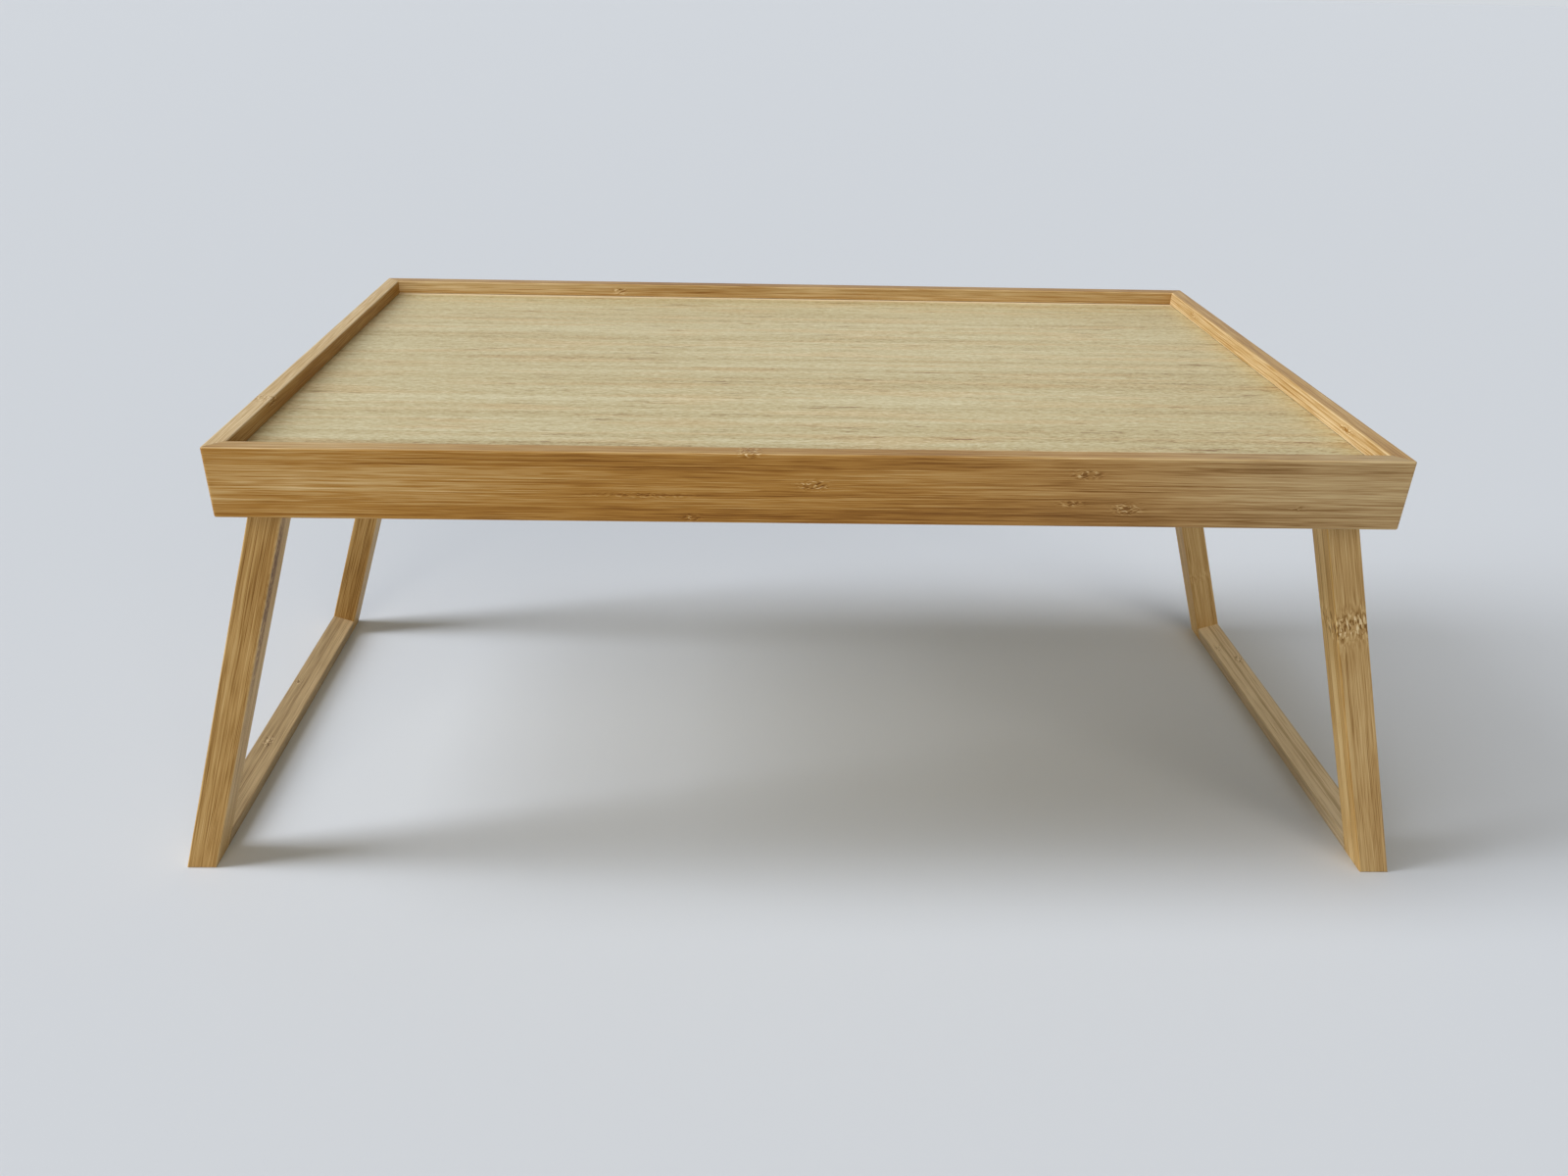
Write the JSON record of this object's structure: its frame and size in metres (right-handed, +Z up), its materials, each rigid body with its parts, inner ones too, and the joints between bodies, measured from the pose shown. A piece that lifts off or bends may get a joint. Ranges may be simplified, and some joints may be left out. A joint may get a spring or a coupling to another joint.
{
  "type": "folding bed tray table",
  "caption": "Rimmed rectangular serving tray on two splayed U-shaped leg frames that fold flat into the bay beneath the panel.",
  "frame": {"origin": "on the floor, under the middle of the tray, with the legs open", "axes": "+X to the right along the tray's long side, +Y towards the back, +Z up"},
  "size_m": [0.6204, 0.3, 0.235],
  "materials": {
    "rail_bamboo": "laminated bamboo, fine straight grain along the rail, clear satin lacquer",
    "panel_veneer": "pale bamboo veneer, fine grain along the tray, matt lacquer",
    "panel_plywood": "plywood core, edges hidden in the grooves",
    "cleat_bamboo": "laminated bamboo, sanded",
    "spline_bamboo": "bamboo strip, sanded",
    "leg_bamboo": "laminated bamboo, grain along the piece, nodes across it, clear satin lacquer",
    "sleeve_nylon": "natural nylon, matt",
    "zinc_steel": "bright zinc-plated steel"
  },
  "bodies": {
    "tray": {"front_rail": "rail_bamboo", "rear_rail": "rail_bamboo", "left_rail": "rail_bamboo", "right_rail": "rail_bamboo", "panel_core": "panel_plywood", "panel_top_veneer": "panel_veneer", "panel_bottom_veneer": "panel_veneer", "front_cleat": "cleat_bamboo", "rear_cleat": "cleat_bamboo", "corner_spline_front_left": "spline_bamboo", "corner_spline_front_right": "spline_bamboo", "corner_spline_rear_left": "spline_bamboo", "corner_spline_rear_right": "spline_bamboo", "left_pivot_screws": "zinc_steel", "right_pivot_screws": "zinc_steel", "left_pivot_washers": "zinc_steel", "right_pivot_washers": "zinc_steel"},
    "left_leg_frame": {"left_front_leg": "leg_bamboo", "left_rear_leg": "leg_bamboo", "left_foot_bar": "leg_bamboo", "left_pivot_sleeves": "sleeve_nylon"},
    "right_leg_frame": {"right_front_leg": "leg_bamboo", "right_rear_leg": "leg_bamboo", "right_foot_bar": "leg_bamboo", "right_pivot_sleeves": "sleeve_nylon"}
  },
  "joints": [
    {"name": "left_leg_fold", "type": "hinge", "parent": "tray", "child": "left_leg_frame", "pos_m": [-0.23118, 0, 0.214], "axis": [0, -1, 0], "range_deg": [0, 108.5]},
    {"name": "right_leg_fold", "type": "hinge", "parent": "tray", "child": "right_leg_frame", "pos_m": [0.23118, 0, 0.214], "axis": [0, 1, 0], "range_deg": [0, 108.5]}
  ]
}
